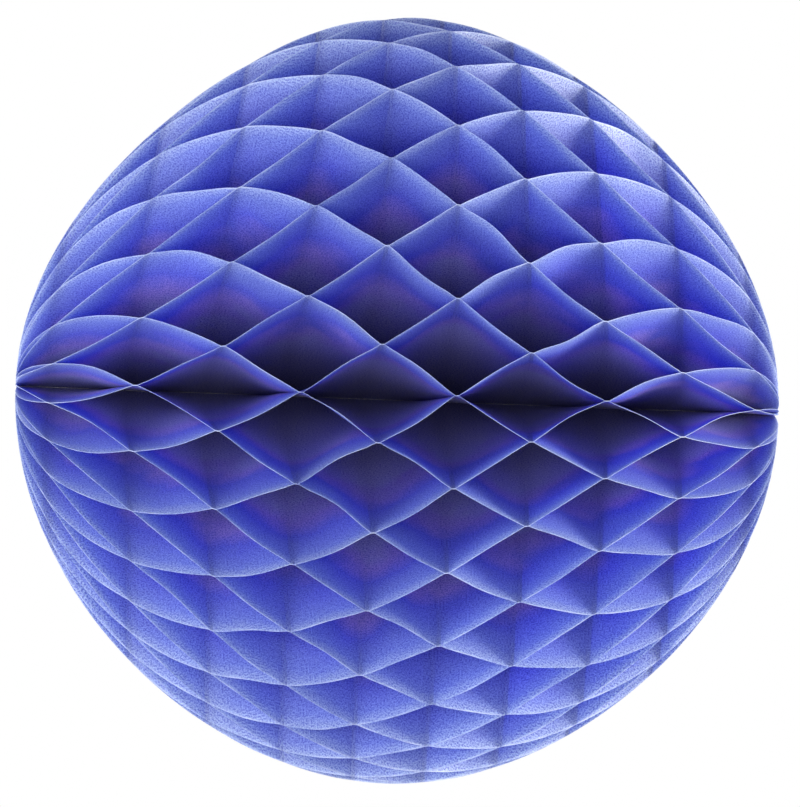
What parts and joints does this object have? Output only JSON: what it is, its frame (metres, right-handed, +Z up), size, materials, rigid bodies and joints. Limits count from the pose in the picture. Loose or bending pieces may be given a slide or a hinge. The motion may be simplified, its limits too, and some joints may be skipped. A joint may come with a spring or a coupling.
{
  "type": "honeycomb paper ball",
  "caption": "Hanging decoration ball of thin tissue leaves glued along alternate lines round a straight spine, opened into a full round of diamond cells and closed on stiff card covers.",
  "frame": {"origin": "centre of the ball, half way along the spine", "axes": "+X along the spine to the right in the picture, +Y away from the viewer, so the covers meet near the back, +Z up as in the picture"},
  "size_m": [0.15, 0.15, 0.1499],
  "materials": {
    "tissue": "matte, translucent tissue dyed in the mass",
    "cover_card": "matte",
    "thread": "matte"
  },
  "bodies": {
    "root": {"leaf_01": "tissue", "leaf_02": "tissue", "leaf_03": "tissue", "leaf_04": "tissue", "leaf_05": "tissue", "leaf_06": "tissue", "leaf_07": "tissue", "leaf_08": "tissue", "leaf_09": "tissue", "leaf_10": "tissue", "leaf_11": "tissue", "leaf_12": "tissue", "leaf_13": "tissue", "leaf_14": "tissue", "leaf_15": "tissue", "leaf_16": "tissue", "leaf_17": "tissue", "leaf_18": "tissue", "leaf_19": "tissue", "leaf_20": "tissue", "leaf_21": "tissue", "leaf_22": "tissue", "leaf_23": "tissue", "leaf_24": "tissue", "leaf_25": "tissue", "leaf_26": "tissue", "leaf_27": "tissue", "leaf_28": "tissue", "leaf_29": "tissue", "leaf_30": "tissue", "leaf_31": "tissue", "leaf_32": "tissue", "leaf_33": "tissue", "leaf_34": "tissue", "leaf_35": "tissue", "leaf_36": "tissue", "leaf_37": "tissue", "leaf_38": "tissue", "leaf_39": "tissue", "leaf_40": "tissue", "leaf_41": "tissue", "leaf_42": "tissue", "leaf_43": "tissue", "leaf_44": "tissue", "leaf_45": "tissue", "leaf_46": "tissue", "leaf_47": "tissue", "leaf_48": "tissue", "leaf_49": "tissue", "leaf_50": "tissue", "leaf_51": "tissue", "leaf_52": "tissue", "leaf_53": "tissue", "leaf_54": "tissue", "leaf_55": "tissue", "leaf_56": "tissue", "leaf_57": "tissue", "cover_first": "cover_card", "cover_last": "cover_card", "spine_thread": "thread"}
  },
  "joints": []
}
